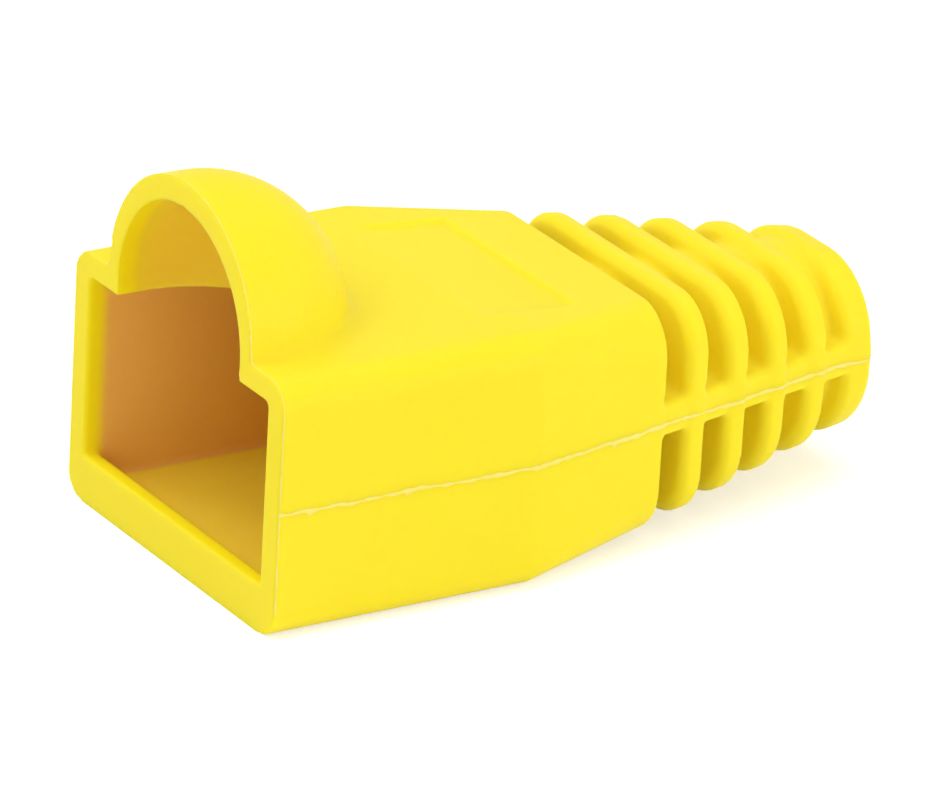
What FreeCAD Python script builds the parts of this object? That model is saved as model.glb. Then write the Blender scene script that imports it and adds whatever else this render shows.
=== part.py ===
import FreeCAD, Part
import math
import os

import Sketcher

# Strain relief boot for a modular cable plug: one soft moulding.
# Frame: origin at the middle of the mouth's lower edge, mouth facing -Y,
# cable tail pointing +Y, flat underside on z = 0, millimetres throughout.

SIZES = [
    ("plug_width", 11.7, "width of the plug body that the sleeve takes"),
    ("plug_clearance", 0.1, "gap left on each side of the plug"),
    ("side_wall", 1.0, "wall beside the plug"),
    ("floor_wall", 0.77, "wall under the plug, behind the sill"),
    ("roof_wall", 0.87, "wall over the plug"),
    ("cavity_height", 7.43, "clear height of the plug pocket"),
    ("cavity_depth", 9.6, "depth of the plug pocket from the mouth"),
    ("cavity_corner", 0.18, "corner radius inside the plug pocket"),
    ("sill_height", 0.93, "how far the sill stands above the pocket floor"),
    ("sill_thickness", 0.75, "depth of the sill behind the mouth"),
    ("sill_round", 0.35, "rounding of the sill's inner edge"),
    ("sleeve_length", 10.15, "straight part of the sleeve, mouth to kink"),
    ("upper_corner", 1.0, "radius along the sleeve's upper corners"),
    ("lower_corner", 1.0, "radius along the sleeve's lower corners"),
    ("hood_radius", 4.71, "outer radius of the latch hood"),
    ("hood_sink", 0.02, "hood axis below the sleeve's top"),
    ("hood_barrel", 1.0, "straight part of the hood behind the mouth"),
    ("hood_wall", 0.65, "hood wall at its legs"),
    ("hood_crown", 0.22, "extra hood wall at the crown"),
    ("hood_back_wall", 0.55, "hood wall at the back"),
    ("tail_length", 15.46, "kink to the cable end"),
    ("tail_drop", 0.15, "cable axis below the sleeve's middle"),
    ("tail_swell", 0.07, "middle of the tail beyond a straight taper"),
    ("cable_diameter", 5.0, "largest cable that the tail takes"),
    ("cable_clearance", 0.1, "gap left round the cable"),
    ("tube_front_wall", 0.85, "tube wall under the first groove"),
    ("tube_back_wall", 0.65, "tube wall under the last groove"),
    ("end_side_wall", 1.07, "wall beside the cable at the tail's end"),
    ("end_top_wall", 0.63, "wall above and below the cable at the tail's end"),
    ("end_flat", 0.05, "half height of the tail end's flat sides"),
    ("end_round", 0.42, "rounding of the tail's end"),
    ("lead_in", 0.12, "bevel at the cable exit"),
    ("funnel_radius", 3.4, "wide end of the cable funnel"),
    ("funnel_length", 3.6, "length of the cable funnel"),
    ("first_groove", 5.5, "kink to the first groove"),
    ("groove_pitch", 1.9, "groove to groove"),
    ("groove_width", 1.05, "width of a groove"),
    ("end_rib", 1.2, "least length of the last rib"),
    ("rib_easing", 0.28, "easing of the rib edges that face the mouth"),
    ("web_above", 0.74, "side web above the sleeve's mid height"),
    ("web_below", 0.41, "side web below the sleeve's mid height"),
    ("web_inset", 0.06, "side web in from the ribs' sides"),
    ("bite", 0.4, "tube and side web run on past the first and last groove"),
    ("recess_width", 8.4, "width of the shallow ramp behind the hood"),
    ("recess_start", 9.0, "mouth to the ramp's shallow end"),
    ("recess_length", 3.85, "length of the ramp"),
    ("recess_drop", 0.38, "ramp's deep end below the sleeve top"),
]
CLEAR_OF_BODY = 1.0
SAME_LEVEL = 1e-4

DERIVED = [
    ("cavity_half", "=plug_width / 2 + plug_clearance"),
    ("sleeve_half", "=cavity_half + side_wall"),
    ("sleeve_height", "=floor_wall + cavity_height + roof_wall"),
    ("axis_height", "=sleeve_height / 2"),
    ("cavity_below", "=axis_height - floor_wall"),
    ("cavity_above", "=axis_height - roof_wall"),
    ("bore_radius", "=cable_diameter / 2 + cable_clearance"),
    ("cable_height", "=axis_height - tail_drop"),
    ("core_radius", "=bore_radius / 2"),
    ("end_half", "=bore_radius + end_side_wall"),
    ("end_rise", "=bore_radius + end_top_wall"),
    ("end_corner", "=end_rise - end_flat"),
    ("rib_slope", "=(sleeve_half - end_half + axis_height - end_rise) / (2 * tail_length)"),
    ("boot_length", "=sleeve_length + tail_length"),
    ("groove_start", "=sleeve_length + first_groove"),
    ("groove_room", "=tail_length - first_groove - groove_width - end_rib"),
    ("groove_count", "=floor(groove_room / groove_pitch) + 1"),
    ("grooves_end", "=groove_start + (groove_count - 1) * groove_pitch + groove_width"),
    ("tube_start", "=groove_start - bite"),
    ("tube_end", "=grooves_end + bite"),
    ("hood_level", "=sleeve_height - hood_sink"),
    ("hollow_radius", "=hood_radius - hood_wall"),
    ("hollow_level", "=hood_level - hood_crown"),
    ("hollow_barrel", "=hood_barrel + hood_radius - hood_back_wall - hollow_radius"),
    ("body_reach", "=sleeve_half + %s" % CLEAR_OF_BODY),
    ("body_rise", "=axis_height + %s" % CLEAR_OF_BODY),
    ("recess_end", "=recess_start + recess_length"),
    ("recess_floor", "=axis_height - recess_drop"),
]


def make_sheet(doc):
    """The spreadsheet of sizes: name, value, meaning."""
    sheet = doc.addObject("Spreadsheet::Sheet", "Sizes")
    rows = [(name, str(value), note) for name, value, note in SIZES]
    rows += [(name, text, "worked out") for name, text in DERIVED]
    for row, (name, text, note) in enumerate(rows, start=1):
        sheet.set("A%d" % row, name)
        sheet.set("B%d" % row, text)
        sheet.set("C%d" % row, note)
        sheet.setAlias("B%d" % row, name)
    doc.recompute()
    return sheet


class Outline:
    """A sketch whose points are dimensioned by expressions on the sheet.

    Its first coordinate runs across (or along the boot on a lengthwise
    plane); its second is the height above the level it is drawn at.
    """

    def __init__(self, body, name, plane_role, station="0", level="Sizes.axis_height"):
        self.sketch = body.newObject("Sketcher::SketchObject", name)
        plane = [f for f in body.Origin.OriginFeatures if f.Role == plane_role][0]
        self.sketch.AttachmentSupport = (plane, [""])
        self.sketch.MapMode = "FlatFace"
        self.sketch.setExpression("AttachmentOffset.Base.y", level)
        self.sketch.setExpression("AttachmentOffset.Base.z", "-1 * %s" % station)
        self.count = 0

    def value(self, text):
        found = self.sketch.evalExpression(text)
        return float(getattr(found, "Value", found))

    def bind(self, kind, refs, text):
        """A dimension whose value follows an expression."""
        index = self.sketch.addConstraint(Sketcher.Constraint(kind, *refs, self.value(text)))
        self.count += 1
        name = "%s_%d" % (kind.lower(), self.count)
        self.sketch.renameConstraint(index, name)
        self.sketch.setExpression("Constraints." + name, text)

    def tie(self, kind, *refs):
        self.sketch.addConstraint(Sketcher.Constraint(kind, *refs))

    def hold(self, kind, geo, end, text):
        """Hold one coordinate of a point; "0" puts it on the sketch's axis."""
        if text == "0":
            self.tie("PointOnObject", geo, end, -2 if kind == "DistanceX" else -1)
        elif text.startswith("-"):
            self.bind(kind, (geo, end, -1, 1), text[1:])
        else:
            self.bind(kind, (-1, 1, geo, end), text)

    def point(self, pair):
        return FreeCAD.Vector(self.value(pair[0]), self.value(pair[1]), 0)

    def line(self, start, stop):
        return self.sketch.addGeometry(Part.LineSegment(self.point(start), self.point(stop)), False)

    def arc(self, centre, radius, first, last):
        """An arc from angle first to angle last, in degrees."""
        circle = Part.Circle(self.point(centre), FreeCAD.Vector(0, 0, 1), self.value(radius))
        span = math.radians(first), math.radians(last)
        return self.sketch.addGeometry(Part.ArcOfCircle(circle, *span), False)

    def polygon(self, corners):
        """A closed outline of straight lines through dimensioned corners."""
        lines = [self.line(a, b) for a, b in zip(corners, corners[1:] + corners[:1])]
        for here, (across, up) in zip(lines, corners):
            self.hold("DistanceX", here, 1, across)
            self.hold("DistanceY", here, 1, up)
        for here, after in zip(lines, lines[1:] + lines[:1]):
            self.tie("Coincident", here, 2, after, 1)
        return self


def rounded_rectangle(outline, half, below, above, low_round, high_round):
    """A rectangle with rounded corners, the same on both sides."""
    low_in, high_in = "(%s - %s)" % (half, low_round), "(%s - %s)" % (half, high_round)
    low, high = "(%s - %s)" % (below, low_round), "(%s - %s)" % (above, high_round)
    floor = outline.line(("-" + low_in, "-" + below), (low_in, "-" + below))
    right = outline.line((half, "-" + low), (half, high))
    roof = outline.line((high_in, above), ("-" + high_in, above))
    left = outline.line(("-" + half, high), ("-" + half, "-" + low))
    low_right = outline.arc((low_in, "-" + low), low_round, 270, 360)
    high_right = outline.arc((high_in, high), high_round, 0, 90)
    high_left = outline.arc(("-" + high_in, high), high_round, 90, 180)
    low_left = outline.arc(("-" + low_in, "-" + low), low_round, 180, 270)
    chain = [floor, low_right, right, high_right, roof, high_left, left, low_left]
    for here, after in zip(chain, chain[1:] + chain[:1]):
        outline.tie("Tangent", here, 2, after, 1)
    for level_line in (floor, roof):
        outline.tie("Horizontal", level_line)
    for upright in (left, right):
        outline.tie("Vertical", upright)
    outline.bind("Radius", (low_right,), low_round)
    outline.tie("Equal", low_right, low_left)
    outline.bind("Radius", (high_right,), high_round)
    outline.tie("Equal", high_right, high_left)
    outline.hold("DistanceX", right, 1, half)
    outline.hold("DistanceX", left, 1, "-" + half)
    outline.hold("DistanceY", floor, 1, "-" + below)
    outline.hold("DistanceY", roof, 1, above)
    return outline


def ball_ended(outline, radius, barrel):
    """Half section of a barrel ending in a ball, to turn round the sketch's level."""
    mouth = outline.line(("0", "0"), ("0", radius))
    wall = outline.line(("0", radius), (barrel, radius))
    ball = outline.arc((barrel, "0"), radius, 0, 90)
    base = outline.line(("%s + %s" % (barrel, radius), "0"), ("0", "0"))
    outline.hold("DistanceX", mouth, 1, "0")
    outline.hold("DistanceY", mouth, 1, "0")
    outline.tie("Coincident", mouth, 2, wall, 1)
    outline.tie("Tangent", wall, 2, ball, 2)
    outline.tie("Coincident", ball, 1, base, 1)
    outline.tie("Coincident", base, 2, mouth, 1)
    outline.tie("Vertical", mouth)
    outline.tie("Horizontal", wall)
    outline.tie("Horizontal", base)
    outline.tie("PointOnObject", ball, 3, base)
    outline.bind("Radius", (ball,), radius)
    outline.hold("DistanceX", ball, 3, barrel)
    return outline


def feature(body, kind, name, outline, **settings):
    """A feature made from one outline; texts are expressions."""
    made = body.newObject(kind, name)
    made.Profile = outline.sketch
    for key, setting in settings.items():
        if isinstance(setting, str):
            made.setExpression(key, setting)
        else:
            setattr(made, key, setting)
    body.Document.recompute()
    return made


def turned_feature(body, kind, name, outline):
    """A whole turn round the outline's own level."""
    return feature(body, kind, name, outline, ReferenceAxis=(outline.sketch, ["H_Axis"]), Angle=360.0)


def edge_names(shape, wanted):
    """Names of the edges for which wanted(edge) is true."""
    return ["Edge%d" % n for n, edge in enumerate(shape.Edges, start=1) if wanted(edge)]


def rounded(body, name, base, names, radius):
    fillet = body.newObject("PartDesign::Fillet", name)
    fillet.Base = (base, names)
    fillet.setExpression("Radius", radius)
    body.Document.recompute()
    return fillet


def in_plane(edge, axis, level):
    """Whether the whole edge lies at one level of an axis (0 x, 1 y, 2 z)."""
    box = edge.BoundBox
    low = (box.XMin, box.YMin, box.ZMin)[axis]
    high = (box.XMax, box.YMax, box.ZMax)[axis]
    return abs(low - level) < SAME_LEVEL and abs(high - level) < SAME_LEVEL


def along_tail(station, first, last, swell="0"):
    """A size that runs straight from the kink to the tail's end, with a slight swell between."""
    share = "((%s - Sizes.sleeve_length) / Sizes.tail_length)" % station
    return "(%s + (%s - %s) * %s + 4 * %s * %s * (1 - %s))" % (first, last, first, share, swell, share, share)


def tail_half(station):
    return along_tail(station, "Sizes.sleeve_half", "Sizes.end_half", "Sizes.tail_swell")


def tail_outline(body, name, station, middle, lead="0"):
    """The section that the tail has at middle, larger by lead, drawn at station."""
    level = along_tail(middle, "Sizes.axis_height", "Sizes.cable_height")
    half = "(%s + %s)" % (tail_half(middle), lead)
    rise = "(%s + %s)" % (along_tail(middle, "Sizes.axis_height", "Sizes.end_rise", "Sizes.tail_swell"), lead)
    corners = [along_tail(middle, first, "Sizes.end_corner")
               for first in ("Sizes.lower_corner", "Sizes.upper_corner")]
    return rounded_rectangle(Outline(body, name, "XZ_Plane", station, level), half, rise, rise, *corners)


def sleeve(body):
    """The sleeve, and the tail's first stretch as far as the grooves."""
    outline = rounded_rectangle(
        Outline(body, "sleeve_outline", "XZ_Plane"), "Sizes.sleeve_half",
        "Sizes.axis_height", "Sizes.axis_height", "Sizes.lower_corner", "Sizes.upper_corner")
    feature(body, "PartDesign::Pad", "sleeve", outline, Reversed=True, Length="Sizes.sleeve_length")
    stations = [("kink", "Sizes.sleeve_length"), ("shoulder", "Sizes.groove_start")]
    kink, shoulder = [tail_outline(body, "tail_" + name, station, station) for name, station in stations]
    body.Document.recompute()
    return feature(body, "PartDesign::AdditiveLoft", "tail", kink, Ruled=True, Sections=[shoulder.sketch])


def hood(body):
    outline = ball_ended(
        Outline(body, "hood_outline", "YZ_Plane", level="Sizes.hood_level"),
        "Sizes.hood_radius", "Sizes.hood_barrel")
    return turned_feature(body, "PartDesign::Revolution", "hood", outline)


def turned_wall(body, name, front, back):
    """A wall turned round the cable axis, under all the grooves."""
    corners = [("Sizes.tube_start", "0"), ("Sizes.tube_start", front),
               ("Sizes.tube_end", back), ("Sizes.tube_end", "0")]
    outline = Outline(body, name + "_outline", "YZ_Plane", level="Sizes.cable_height").polygon(corners)
    return turned_feature(body, "PartDesign::Revolution", name, outline)


def ribs(body, sheet):
    """Tapered ribs a groove apart, eased towards the mouth and rounded at the end.

    They are shaped on a thin core, which the cable passage clears away.
    """
    turned_wall(body, "core", "Sizes.core_radius", "Sizes.core_radius")
    count = int(sheet.get("groove_count"))
    fronts = []
    for index in range(count):
        front = "(Sizes.groove_start + %d * Sizes.groove_pitch + Sizes.groove_width)" % index
        length = "(Sizes.groove_pitch - Sizes.groove_width)"
        if index == count - 1:
            length = "(Sizes.boot_length - %s)" % front
        outline = tail_outline(body, "rib_outline_%d" % (index + 1), front, "(%s + %s / 2)" % (front, length),
                               "Sizes.rib_slope * %s / 2" % length)
        rib = feature(body, "PartDesign::Pad", "rib_%d" % (index + 1), outline, Reversed=True,
                      Length=length, TaperAngle="-atan(Sizes.rib_slope)")
        fronts.append(outline.value(front))
    end = sheet.get("boot_length")

    def rim(levels):
        def wanted(edge):
            return not edge.isClosed() and any(in_plane(edge, 1, level) for level in levels)
        return wanted

    eased = body.newObject("PartDesign::Chamfer", "rib_fronts")
    eased.Base = (rib, edge_names(rib.Shape, rim(fronts)))
    eased.setExpression("Size", "Sizes.rib_easing")
    body.Document.recompute()
    return rounded(body, "tail_end_round", eased, edge_names(eased.Shape, rim([end])), "Sizes.end_round")


def tube(body):
    """The wall round the cable, seen as the floor of the grooves."""
    return turned_wall(body, "tube", "(Sizes.bore_radius + Sizes.tube_front_wall)",
                       "(Sizes.bore_radius + Sizes.tube_back_wall)")


def side_webs(body):
    """A slab across the tail that closes the grooves at the sides."""
    sections = []
    for name, station in (("start", "Sizes.tube_start"), ("end", "Sizes.tube_end")):
        half = "(%s - Sizes.web_inset)" % tail_half(station)
        outline = Outline(body, "web_" + name, "XZ_Plane", station)
        low, high = "-Sizes.web_below", "Sizes.web_above"
        sections.append(outline.polygon([("-" + half, low), (half, low), (half, high), ("-" + half, high)]))
    body.Document.recompute()
    return feature(body, "PartDesign::AdditiveLoft", "side_webs", sections[0], Ruled=True,
                   Sections=[sections[1].sketch])


def recess(body):
    corners = [("Sizes.recess_start", "Sizes.axis_height"), ("Sizes.recess_end", "Sizes.recess_floor"),
               ("Sizes.recess_end", "Sizes.body_rise"), ("Sizes.recess_start", "Sizes.body_rise")]
    outline = Outline(body, "recess_outline", "YZ_Plane").polygon(corners)
    return feature(body, "PartDesign::Pocket", "recess", outline, Midplane=True, Length="Sizes.recess_width")


def hollows(body):
    """Plug pocket, hood hollow and cable passage."""
    mouth = rounded_rectangle(
        Outline(body, "pocket_outline", "XZ_Plane"), "Sizes.cavity_half", "Sizes.cavity_below",
        "Sizes.cavity_above", "Sizes.cavity_corner", "Sizes.cavity_corner")
    feature(body, "PartDesign::Pocket", "plug_pocket", mouth, Length="Sizes.cavity_depth")
    hollow = ball_ended(
        Outline(body, "hollow_outline", "YZ_Plane", level="Sizes.hollow_level"),
        "Sizes.hollow_radius", "Sizes.hollow_barrel")
    turned_feature(body, "PartDesign::Groove", "hood_hollow", hollow)
    corners = [("Sizes.cavity_depth", "0"), ("Sizes.cavity_depth", "Sizes.funnel_radius"),
               ("Sizes.cavity_depth + Sizes.funnel_length", "Sizes.bore_radius"),
               ("Sizes.boot_length - Sizes.lead_in", "Sizes.bore_radius"),
               ("Sizes.boot_length", "Sizes.bore_radius + Sizes.lead_in"), ("Sizes.boot_length", "0")]
    passage = Outline(body, "passage_outline", "YZ_Plane", level="Sizes.cable_height").polygon(corners)
    return turned_feature(body, "PartDesign::Groove", "cable_passage", passage)


def sill(body, sheet):
    """The low bar across the mouth that the plug snaps behind."""
    low, high = "-Sizes.cavity_below", "-(Sizes.cavity_below - Sizes.sill_height)"
    side = "Sizes.cavity_half"
    corners = [("-" + side, low), (side, low), (side, high), ("-" + side, high)]
    outline = Outline(body, "sill_outline", "XZ_Plane").polygon(corners)
    bar = feature(body, "PartDesign::Pad", "sill", outline, Reversed=True, Length="Sizes.sill_thickness")
    top = sheet.get("floor_wall") + sheet.get("sill_height")
    back = sheet.get("sill_thickness")
    inner = edge_names(bar.Shape, lambda e: in_plane(e, 2, top) and in_plane(e, 1, back))
    return rounded(body, "sill_edge", bar, inner, "Sizes.sill_round")


def check(doc):
    """Stop if any object failed or the solid is unsound."""
    for item in doc.Objects:
        faults = {"Invalid", "Error"} & set(item.State)
        if faults:
            raise RuntimeError("%s: %s" % (item.Name, ", ".join(sorted(faults))))


def main():
    doc = FreeCAD.newDocument("strain_relief_boot")
    sheet = make_sheet(doc)
    body = doc.addObject("PartDesign::Body", "boot")
    body.Label = "boot"
    body.Placement = FreeCAD.Placement()
    doc.recompute()
    sleeve(body)
    hood(body)
    ribs(body, sheet)
    tube(body)
    side_webs(body)
    recess(body)
    hollows(body)
    sill(body, sheet)
    doc.recompute()
    check(doc)
    shape = body.Shape
    if shape.isNull() or not shape.isValid() or len(shape.Solids) != 1:
        raise RuntimeError("boot: not one sound solid")
    os.makedirs("parts", exist_ok=True)
    shape.exportStep("parts/%s.step" % body.Label)
    print("boot", round(shape.Volume, 3), shape.BoundBox)


main()
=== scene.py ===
import math

import bmesh
import bpy
import numpy as np
from mathutils import Matrix, Vector, noise
from mathutils.bvhtree import BVHTree


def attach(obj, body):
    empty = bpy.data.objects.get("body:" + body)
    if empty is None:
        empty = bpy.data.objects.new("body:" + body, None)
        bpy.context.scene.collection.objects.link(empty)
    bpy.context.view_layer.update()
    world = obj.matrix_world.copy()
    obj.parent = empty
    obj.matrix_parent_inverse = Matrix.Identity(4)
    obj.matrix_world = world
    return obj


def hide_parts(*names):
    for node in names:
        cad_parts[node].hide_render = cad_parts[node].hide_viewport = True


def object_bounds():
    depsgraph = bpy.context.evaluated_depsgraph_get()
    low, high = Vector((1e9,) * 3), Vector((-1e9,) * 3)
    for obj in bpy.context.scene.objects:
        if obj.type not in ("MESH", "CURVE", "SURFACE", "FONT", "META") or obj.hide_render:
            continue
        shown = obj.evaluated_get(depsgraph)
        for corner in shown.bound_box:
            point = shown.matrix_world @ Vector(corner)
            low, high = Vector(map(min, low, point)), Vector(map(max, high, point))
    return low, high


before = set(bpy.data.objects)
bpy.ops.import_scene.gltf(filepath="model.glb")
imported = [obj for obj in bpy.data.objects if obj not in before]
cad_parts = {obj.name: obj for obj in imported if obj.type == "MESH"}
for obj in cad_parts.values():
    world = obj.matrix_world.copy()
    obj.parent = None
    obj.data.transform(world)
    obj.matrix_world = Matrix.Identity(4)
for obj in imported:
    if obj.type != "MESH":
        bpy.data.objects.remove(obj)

# Soft yellow strain relief boot on a plain white floor.
# The skin and its flash are shaped in millimetres, then brought to the frame's metres.

MM = 0.001
CAD_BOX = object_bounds()
BOX_LOW, BOX_HIGH = np.array(CAD_BOX[0]), np.array(CAD_BOX[1])
BODY = "root"

# The boot's own places, in millimetres.
HALF_WIDTH, LENGTH = BOX_HIGH[:2] / MM
PARTING_HEIGHT = 4.535
SLEEVE_TOP = 9.07
SLEEVE_CORNER = 1.0
HOOD_RADIUS = 4.71
HOOD_LEVEL = 9.05
HOOD_BARREL = 1.0
HOLLOW_RADIUS = 4.06
HOLLOW_LEVEL = 8.83
FIRST_GROOVE = 15.65
GROOVE_PITCH = 1.9
GROOVE_WIDTH = 1.05
GROOVES = 5
WEB_TOP = 5.275
CABLE_RADIUS = 2.6

# Skin: a fine even mesh over the moulding, with its edges eased.
VOXEL = 0.08
SKIN_TRIANGLES = 190000
SIDE_INSET = 0.035
RIM_DEPTH = 0.35
RIM_REACH = 0.15
SNAP_REACH = 0.07

# Mould flash: thin uneven beads along the parting line and the mouth's outer edge.
STEP = 0.06
SUNK = 0.012
SECTION = [(-0.5, -1.0), (-0.3, 0.6), (0.0, 1.0), (0.3, 0.6), (0.5, -1.0)]
PARTING_WIDTH, PARTING_RISE = 0.15, 0.018
RIM_WIDTH, RIM_RISE = 0.06, 0.004
RIM_SETBACK = 0.07
NUBS = [(1.22, 0.07), (4.9, 0.06), (9.95, 0.11), (13.4, 0.06), (21.9, 0.07)]

# Lamps: name, azimuth and elevation in degrees, width in metres, light on a facing surface.
# The sky and the floor's glow are in the same measure.
LAMP_DISTANCE = 0.5
LAMPS = [
    ("overhead", 90, 88, 0.4, 0.32),
    ("high_left", -60, 58, 0.3, 0.24),
    ("low_left", -50, 10, 0.2, 0.08),
    ("front", 5, 45, 0.3, 0.25),
    ("near_side", 68, 11, 0.2, 0.12),
    ("tail_side", 125, 9, 0.2, 0.41),
]
SKY_LEVEL = 0.25
FLOOR_REACH = 1.5
FLOOR_GLOW = 0.5

# Vinyl: two close shades of it and of its flash, and how the light spreads in it.
VINYL_SHADES = (0.885, 0.73, 0.025), (0.895, 0.74, 0.03)
FLASH_SHADES = (0.89, 0.74, 0.14), (0.91, 0.77, 0.2)
VINYL_CLEARNESS, FLASH_CLEARNESS = 0.6, 0.0
VINYL_ROUGHNESS = 0.45
VINYL_SHINE = 0.06
SCATTER = (1.0, 0.8, 0.12)
SCATTER_REACH = 0.6

# Inside the boot: painted shade, browner with depth; painted light, clear yellow at the mouth's
# edge.
WALL_PAINTED_SHADE = (0.88, 0.5, 0.12)
FLOOR_PAINTED_SHADE = (0.92, 0.665, 0.06)
ROOF_PAINTED_SHADE = (0.92, 0.68, 0.05)
EDGE_PAINTED_LIGHT = (1.0, 0.8, 0.012)

# Camera, solved from the photograph's vanishing directions.
CAMERA_AZIMUTH = math.radians(57.19)
CAMERA_ELEVATION = math.radians(22.81)
CAMERA_ROLL = math.radians(3.25)
CAMERA_DISTANCE = 288.7 * MM
CAMERA_TARGET = Vector((-0.948, 12.0, 3.527)) * MM
FOCAL_PIXELS = 8500
IMAGE_WIDTH = 929
SENSOR = 36.0


def new_object(name, mesh):
    made = bpy.data.objects.new(name, mesh)
    bpy.context.scene.collection.objects.link(made)
    return made


def applied(piece):
    """The piece's mesh with its modifiers made real."""
    graph = bpy.context.evaluated_depsgraph_get()
    mesh = bpy.data.meshes.new_from_object(piece.evaluated_get(graph))
    piece.modifiers.clear()
    piece.data = mesh
    return mesh


def welded_copy(mesh, scale):
    """A copy at another scale whose split edges are joined again."""
    copy = mesh.copy()
    copy.transform(Matrix.Scale(scale, 4))
    work = bmesh.new()
    work.from_mesh(copy)
    bmesh.ops.remove_doubles(work, verts=work.verts, dist=1e-5)
    work.to_mesh(copy)
    work.free()
    return copy


def read_places(mesh):
    places = np.empty(len(mesh.vertices) * 3)
    mesh.vertices.foreach_get("co", places)
    return places.reshape(-1, 3)


def fade(values, full, none):
    """1 at full, falling evenly to 0 at none."""
    return np.clip((values - none) / (full - none), 0, 1)


def ease(mesh, strength, steps):
    """Draw each vertex towards its neighbours' middle, by its own strength from 0 to 1."""
    places = read_places(mesh)
    ends = np.empty(len(mesh.edges) * 2, dtype=np.int32)
    mesh.edges.foreach_get("vertices", ends)
    ends = ends.reshape(-1, 2)
    ends = ends[(strength[ends] > 0).any(axis=1)]
    here, there = np.concatenate((ends, ends[:, ::-1])).T
    shares = np.maximum(np.bincount(here, minlength=len(places)), 1)
    for _ in range(steps):
        for axis in range(3):
            level = places[:, axis]
            middle = np.bincount(here, weights=level[there], minlength=len(places)) / shares
            level += strength * (middle - level)
    mesh.vertices.foreach_set("co", places.ravel())


def ease_edges(mesh):
    """Crisp at the mouth, softer on the ribs, and blended where the hood meets the roof."""
    x, y, z = read_places(mesh).T
    ease(mesh, np.full(len(x), 0.5), 3)
    fronts = [FIRST_GROOVE + index * GROOVE_PITCH + GROOVE_WIDTH for index in range(GROOVES)]
    off_front = np.min([abs(y - front - 0.12) for front in fronts], axis=0)
    ease(mesh, 0.5 * fade(off_front, 0.12, 0.36), 9)
    web_edge = fade(abs(z - WEB_TOP), 0.1, 0.4) * (y > FIRST_GROOVE - 0.2)
    ease(mesh, 0.5 * web_edge, 14)
    reach = np.where(y < HOOD_BARREL, abs(x), np.hypot(x, y - HOOD_BARREL))
    foot = fade(np.hypot(reach - HOOD_RADIUS, z - SLEEVE_TOP), 0.3, 0.9) * fade(y, 4.0, 0.1)
    ease(mesh, 0.5 * foot, 90)


def true_hood(mesh):
    """Bring the hood's rim back to its own radii, and list the vertices away from it."""
    places = read_places(mesh)
    rim = np.zeros(len(places), dtype=bool)
    surfaces = [(HOOD_RADIUS, HOOD_LEVEL, SLEEVE_TOP + 1.0),
                (HOLLOW_RADIUS, HOLLOW_LEVEL, SLEEVE_TOP - 0.7)]
    for radius, level, lowest in surfaces:
        away = places - (0, 0, level)
        away[:, 1] = 0
        distance = np.linalg.norm(away, axis=1)
        off, high = abs(distance - radius), places[:, 2] > lowest
        near = (off < SNAP_REACH) & high & (places[:, 1] < HOOD_BARREL)
        shift = (radius / distance[near] - 1) * fade(places[near, 1], 0.4, 0.95)
        places[near] += away[near] * shift[:, None]
        rim |= (off < RIM_REACH) & high & (places[:, 1] < RIM_DEPTH)
    mesh.vertices.foreach_set("co", places.ravel())
    return np.flatnonzero(~rim).tolist()


def soft_skin(node):
    """The moulding's form as an even mesh with eased edges, in millimetres."""
    skin = new_object("boot_skin", welded_copy(node.data, 1 / MM))
    remesh = skin.modifiers.new("even_mesh", "REMESH")
    remesh.mode = "VOXEL"
    remesh.voxel_size = VOXEL
    mesh = applied(skin)
    ease_edges(mesh)
    skin.vertex_groups.new(name="off_rim").add(true_hood(mesh), 1.0, "REPLACE")
    mesh.calc_loop_triangles()
    lighter = skin.modifiers.new("lighter", "DECIMATE")
    lighter.ratio = SKIN_TRIANGLES / len(mesh.loop_triangles)
    lighter.vertex_group = "off_rim"
    mesh = applied(skin)
    skin.vertex_groups.clear()
    mesh.transform(Matrix.Scale((HALF_WIDTH - SIDE_INSET) / HALF_WIDTH, 4, (1, 0, 0)))
    mesh.materials.clear()
    return skin


def dress(piece, material):
    """Bring a piece to the frame, within the CAD's box, and attach it to the body."""
    mesh = piece.data
    places = np.clip(read_places(mesh) * MM, BOX_LOW, BOX_HIGH)
    mesh.vertices.foreach_set("co", places.ravel())
    mesh.polygons.foreach_set("use_smooth", [True] * len(mesh.polygons))
    mesh.update()
    mesh.materials.append(material)
    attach(piece, BODY)


def wander(travel, size, lane):
    """An uneven run of values between -1 and 1 whose waves are about size long."""
    return noise.noise(Vector((travel / size, lane, 0.5)))


def surface_track(tree, rays):
    """Places and normals where the rays first meet the skin."""
    hits = [tree.ray_cast(Vector(start), Vector(aim).normalized()) for start, aim in rays]
    return [(place, normal) for place, normal, _, _ in hits if place is not None]


def bead(mesh, track, width, height, lane, nubs=()):
    """Add a low uneven bead along a track of places and normals."""
    last = len(track) - 1
    rows = []
    for step, (place, normal) in enumerate(track):
        along = track[min(step + 1, last)][0] - track[max(step - 1, 0)][0]
        across = normal.cross(along).normalized()
        travel = step * STEP
        bulge = sum(math.exp(-((place.y - spot) / size) ** 2) for spot, size in nubs)
        swell = 1 + 0.45 * wander(travel, 1.7, lane) + 0.8 * wander(travel, 0.22, lane + 3) + bulge
        proud = 0.9 + 0.6 * wander(travel, 0.9, lane + 6) + 0.5 * wander(travel, 0.2, lane + 9)
        place = place - across * 0.05 * bulge
        row = []
        for side, rise in SECTION:
            lift = SUNK * rise if rise < 0 else height * rise * max(proud, 0.2)
            spread = across * side * width * max(swell, 0.3)
            row.append(mesh.verts.new(place + spread + normal * lift))
        rows.append(row)
    for before, after in zip(rows, rows[1:]):
        for left in range(len(SECTION) - 1):
            mesh.faces.new((before[left], before[left + 1], after[left + 1], after[left]))


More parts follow.
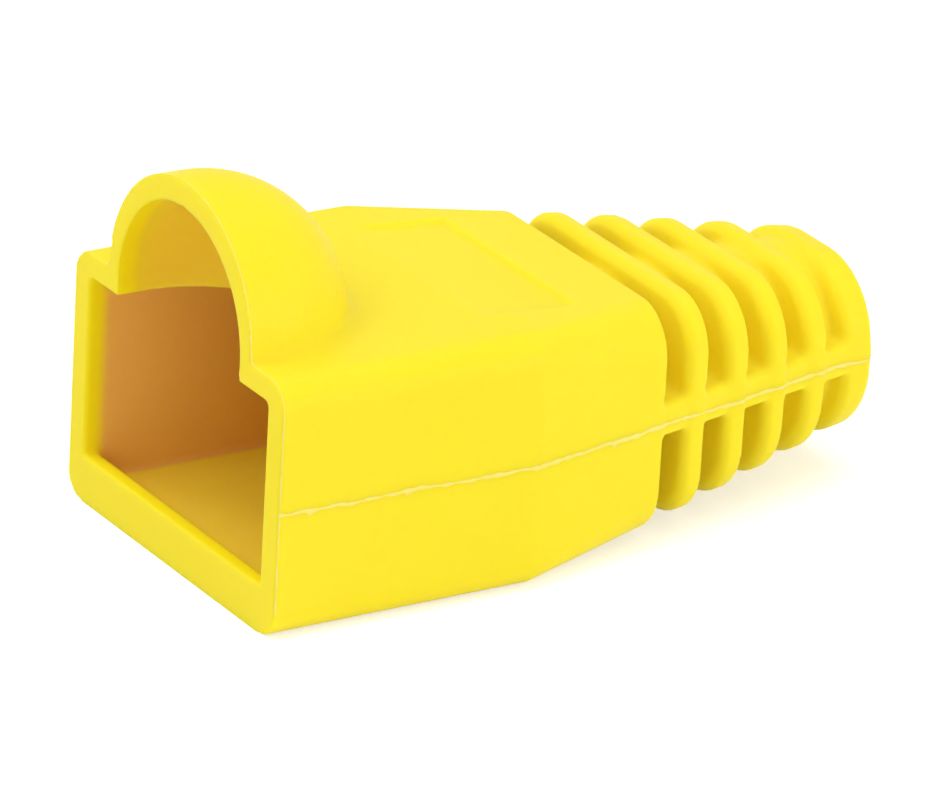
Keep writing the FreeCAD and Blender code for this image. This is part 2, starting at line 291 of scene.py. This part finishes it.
def parting_rays(side):
    """From the mouth along one side of the boot, round the tail's end to the cable hole."""
    rays = []
    for y in np.arange(0.03, LENGTH - 0.25, STEP):
        z = PARTING_HEIGHT + 0.07 * wander(y, 2.6, side) + 0.06 * wander(y, 0.5, side + 4)
        rays.append(((side * 20, y, z), (-side, 0, 0)))
    edge = np.array((side * (CABLE_RADIUS + 0.75), LENGTH - 0.3))
    for turn in np.radians(np.arange(10, 91, 8)):
        aim = np.array((side * math.cos(turn), math.sin(turn)))
        x, y = edge + 5 * aim
        rays.append(((x, y, PARTING_HEIGHT), (-aim[0], -aim[1], 0)))
    for x in np.arange(CABLE_RADIUS + 0.7, CABLE_RADIUS + 0.14, -STEP):
        rays.append(((side * x, LENGTH + 5, PARTING_HEIGHT), (0, -1, 0)))
    return rays


def rim_rays():
    """Over the sleeve and hood just behind the mouth, from side to side."""
    start, corner = HALF_WIDTH - SLEEVE_CORNER, SLEEVE_TOP - SLEEVE_CORNER
    rays = [((20, z), (-1, 0)) for z in np.arange(SLEEVE_CORNER, corner, STEP)]
    for turn in np.arange(0, math.pi / 2, STEP / SLEEVE_CORNER):
        aim = math.cos(turn), math.sin(turn)
        rays.append(((start + 3 * aim[0], corner + 3 * aim[1]), (-aim[0], -aim[1])))
    rays += [((x, 20), (0, -1)) for x in np.arange(start, HOOD_RADIUS + 0.05, -STEP)]
    for turn in np.arange(0.03, math.pi / 2, STEP / HOOD_RADIUS):
        aim = math.cos(turn), math.sin(turn)
        rays.append(((8 * aim[0], HOOD_LEVEL + 8 * aim[1]), (-aim[0], -aim[1])))
    other = [((-x, z), (-across, up)) for (x, z), (across, up) in reversed(rays)]
    return [((x, RIM_SETBACK, z), (across, 0, up)) for (x, z), (across, up) in rays + other]


def mould_flash(skin):
    """The parting line on both sides and the thin edge round the mouth."""
    tree = BVHTree.FromObject(skin, bpy.context.evaluated_depsgraph_get())
    work = bmesh.new()
    for side in (1, -1):
        bead(work, surface_track(tree, parting_rays(side)),
             PARTING_WIDTH, PARTING_RISE, 10 * side, NUBS)
    bead(work, surface_track(tree, rim_rays()), RIM_WIDTH, RIM_RISE, 30)
    mesh = bpy.data.meshes.new("mould_flash")
    work.to_mesh(mesh)
    work.free()
    return new_object("mould_flash", mesh)


class Surface:
    """A material's node tree, built from the shader outward."""

    def __init__(self, name):
        self.material = bpy.data.materials.new(name)
        self.material.use_nodes = True
        self.tree = self.material.node_tree
        self.shader = self.tree.nodes["Principled BSDF"]
        self.place = self.node("ShaderNodeTexCoord").outputs["Object"]

    def node(self, kind, **settings):
        made = self.tree.nodes.new(kind)
        for key, setting in settings.items():
            setattr(made, key, setting)
        return made

    def link(self, source, target):
        self.tree.links.new(source, target)

    def noise(self, size, detail=3.0, roughness=0.5):
        """Noise whose features are about size across."""
        made = self.node("ShaderNodeTexNoise")
        made.inputs["Scale"].default_value = 1 / size
        made.inputs["Detail"].default_value = detail
        made.inputs["Roughness"].default_value = roughness
        self.link(self.place, made.inputs["Vector"])
        return made.outputs["Fac"]

    def ramp(self, source, stops):
        made = self.node("ShaderNodeValToRGB")
        ramp = made.color_ramp
        while len(ramp.elements) < len(stops):
            ramp.elements.new(0.5)
        for element, (position, color) in zip(ramp.elements, stops):
            element.position = position
            element.color = (*color, 1.0)
        self.link(source, made.inputs["Fac"])
        return made.outputs["Color"]

    def math(self, operation, *sources):
        made = self.node("ShaderNodeMath", operation=operation)
        for source, target in zip(sources, made.inputs):
            self.link(source, target)
        return made.outputs["Value"]

    def faded(self, source, full, none):
        """1 where a length is at full, falling evenly to 0 at none; millimetres."""
        made = self.node("ShaderNodeMapRange")
        made.inputs["From Min"].default_value = none * MM
        made.inputs["From Max"].default_value = full * MM
        self.link(source, made.inputs["Value"])
        return made.outputs["Result"]

    def mixed(self, share, source, color):
        """The source's colour, moved by share towards another."""
        made = self.node("ShaderNodeMix", data_type="RGBA")
        self.link(share, made.inputs["Factor"])
        self.link(source, made.inputs[6])
        made.inputs[7].default_value = (*color, 1.0)
        return made.outputs[2]

    def bump(self, height, strength, distance, normal=None):
        made = self.node("ShaderNodeBump")
        made.inputs["Strength"].default_value = strength
        made.inputs["Distance"].default_value = distance
        self.link(height, made.inputs["Height"])
        if normal is not None:
            self.link(normal, made.inputs["Normal"])
        return made.outputs["Normal"]


def region(surface, *limits):
    """The product of several fades, each a length with where it is 1 and where it is 0."""
    share = surface.faded(*limits[0])
    for limit in limits[1:]:
        share = surface.math("MULTIPLY", share, surface.faded(*limit))
    return share


def painted_shade_and_glow(surface, shade):
    """Painted shade: browner colour deep in the pocket and under the hood; painted light: clear
    yellow at their edges.
    """
    parts = surface.node("ShaderNodeSeparateXYZ")
    surface.link(surface.place, parts.inputs["Vector"])
    off_middle = surface.math("ABSOLUTE", parts.outputs["X"])
    depth, height = parts.outputs["Y"], parts.outputs["Z"]
    hollow = surface.node("ShaderNodeVectorMath", operation="DISTANCE")
    surface.link(surface.place, hollow.inputs[0])
    hollow.inputs[1].default_value = Vector((0, HOOD_BARREL, HOLLOW_LEVEL)) * MM
    off_hollow = hollow.outputs["Value"]
    # Masks where shade is painted on the pocket's walls and floor and under the hood.
    walls = region(surface, (off_middle, 5.8, 5.6), (off_middle, 6.3, 6.5), (depth, 0.95, 0.15),
                   (depth, 9.8, 10.2), (height, 0.5, 0.2), (height, 8.6, 8.9))
    floor = region(surface, (off_middle, 5.6, 5.8), (depth, 1.6, 0.7), (depth, 9.8, 10.2),
                   (height, 0.6, 0.4), (height, 1.0, 3.0))
    roof = region(surface, (off_hollow, 4.25, 4.45), (depth, 1.5, 0.3), (height, 8.0, 7.4))
    # Painted light: a clear yellow band just inside the mouth of the pocket and of the hood.
    mouth = region(surface, (off_middle, 6.0, 6.2), (depth, 0.1, 0.03), (depth, 0.45, 0.8),
                   (height, 0.8, 0.6), (height, 8.4, 8.8))
    hood_mouth = region(surface, (off_hollow, 4.25, 4.45), (depth, 0.1, 0.03),
                        (depth, 0.45, 0.8), (height, 8.4, 8.0))
    for share, color in ((walls, WALL_PAINTED_SHADE), (floor, FLOOR_PAINTED_SHADE), (roof, ROOF_PAINTED_SHADE),
                         (mouth, EDGE_PAINTED_LIGHT), (hood_mouth, EDGE_PAINTED_LIGHT)):
        shade = surface.mixed(share, shade, color)
    return shade


def vinyl(name, color, other_color, clearness):
    """Satin moulded vinyl in two close shades, with painted shade inside the boot and painted
    light at the mouth; clearness is how much light it lets through.
    """
    surface = Surface(name)
    shader = surface.shader.inputs
    shade = surface.ramp(surface.noise(4 * MM, 4.0), [(0.3, color), (0.7, other_color)])
    surface.link(painted_shade_and_glow(surface, shade), shader["Base Color"])
    shader["Roughness"].default_value = VINYL_ROUGHNESS
    shader["Specular IOR Level"].default_value = VINYL_SHINE
    shader["IOR"].default_value = 1.5
    shader["Subsurface Weight"].default_value = clearness
    shader["Subsurface Radius"].default_value = SCATTER
    shader["Subsurface Scale"].default_value = SCATTER_REACH * MM
    waves = surface.bump(surface.noise(1.6 * MM, 2.0), 0.12, 0.08 * MM)
    grain = surface.bump(surface.noise(0.12 * MM, 2.0), 0.12, 0.012 * MM, waves)
    surface.link(grain, shader["Normal"])
    return surface.material


def shows_white(tree):
    """1 for the rays that show the plain white ground: camera, mirror and see-through rays."""
    light_path = tree.nodes.new("ShaderNodeLightPath")
    total = light_path.outputs["Is Camera Ray"]
    for kind in ("Is Glossy Ray", "Is Transmission Ray"):
        added = tree.nodes.new("ShaderNodeMath")
        added.use_clamp = True
        tree.links.new(total, added.inputs[0])
        tree.links.new(light_path.outputs[kind], added.inputs[1])
        total = added.outputs["Value"]
    return total


def pale_floor():
    mesh = bpy.data.meshes.new("floor")
    reach = FLOOR_REACH
    corners = [(-reach, -reach, 0), (reach, -reach, 0), (reach, reach, 0), (-reach, reach, 0)]
    mesh.from_pydata(corners, [], [(0, 1, 2, 3)])
    floor = new_object("floor", mesh)
    surface = Surface("floor_white")
    shader = surface.shader.inputs
    shader["Base Color"].default_value = (0.9, 0.9, 0.9, 1.0)
    shader["Roughness"].default_value = 0.9
    shader["Specular IOR Level"].default_value = 0.0
    glow = surface.node("ShaderNodeMath", operation="MULTIPLY")
    surface.link(shows_white(surface.tree), glow.inputs[0])
    glow.inputs[1].default_value = FLOOR_GLOW
    shader["Emission Color"].default_value = (1.0, 1.0, 1.0, 1.0)
    surface.link(glow.outputs["Value"], shader["Emission Strength"])
    mesh.materials.append(surface.material)


def soft_sky():
    """Even light that doubles towards the zenith, and looks plain white itself."""
    world = bpy.data.worlds.new("studio")
    bpy.context.scene.world = world
    world.use_nodes = True
    tree = world.node_tree
    background = tree.nodes["Background"]
    background.inputs["Color"].default_value = (1.0, 1.0, 1.0, 1.0)
    place = tree.nodes.new("ShaderNodeTexCoord").outputs["Generated"]
    parts = tree.nodes.new("ShaderNodeSeparateXYZ")
    tree.links.new(place, parts.inputs["Vector"])
    height = tree.nodes.new("ShaderNodeMapRange")
    height.inputs["To Min"].default_value = SKY_LEVEL
    height.inputs["To Max"].default_value = 2 * SKY_LEVEL
    tree.links.new(parts.outputs["Z"], height.inputs["Value"])
    mix = tree.nodes.new("ShaderNodeMix")
    tree.links.new(shows_white(tree), mix.inputs["Factor"])
    tree.links.new(height.outputs["Result"], mix.inputs["A"])
    mix.inputs["B"].default_value = 1.0
    tree.links.new(mix.outputs["Result"], background.inputs["Strength"])


def direction(azimuth, elevation):
    """Unit vector from the boot; azimuth 0 is before the mouth, 90 is to its right."""
    flat = math.cos(elevation)
    return Vector((math.sin(azimuth) * flat, -math.cos(azimuth) * flat, math.sin(elevation)))


def soft_lamps():
    centre = Vector((0.0, 0.5 * LENGTH, 0.3 * BOX_HIGH[2] / MM)) * MM
    for name, azimuth, elevation, width, level in LAMPS:
        away = direction(math.radians(azimuth), math.radians(elevation))
        data = bpy.data.lights.new(name, "AREA")
        data.size = width
        data.energy = level * (math.pi * LAMP_DISTANCE) ** 2
        lamp = bpy.data.objects.new(name, data)
        bpy.context.scene.collection.objects.link(lamp)
        lamp.location = centre + LAMP_DISTANCE * away
        lamp.rotation_euler = away.to_track_quat("Z", "Y").to_euler()


def set_camera():
    back = direction(CAMERA_AZIMUTH, CAMERA_ELEVATION)
    level = Vector((math.cos(CAMERA_AZIMUTH), math.sin(CAMERA_AZIMUTH), 0.0))
    upright = back.cross(level)
    right = math.cos(CAMERA_ROLL) * level + math.sin(CAMERA_ROLL) * upright
    up = math.cos(CAMERA_ROLL) * upright - math.sin(CAMERA_ROLL) * level
    data = bpy.data.cameras.new("camera")
    data.sensor_fit = "HORIZONTAL"
    data.sensor_width = SENSOR
    data.lens = FOCAL_PIXELS * SENSOR / IMAGE_WIDTH
    data.clip_start = 0.01
    data.clip_end = 10.0
    camera = bpy.data.objects.new("camera", data)
    bpy.context.scene.collection.objects.link(camera)
    turn = Matrix((right, up, back)).transposed().to_4x4()
    camera.matrix_world = Matrix.Translation(CAMERA_TARGET + CAMERA_DISTANCE * back) @ turn
    bpy.context.scene.camera = camera


skin = soft_skin(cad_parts["boot"])
flash = mould_flash(skin)
dress(skin, vinyl("yellow_vinyl", *VINYL_SHADES, VINYL_CLEARNESS))
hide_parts("boot")
dress(flash, vinyl("pale_flash", *FLASH_SHADES, FLASH_CLEARNESS))
pale_floor()
soft_sky()
soft_lamps()
set_camera()
bpy.context.scene.view_settings.view_transform = "Standard"
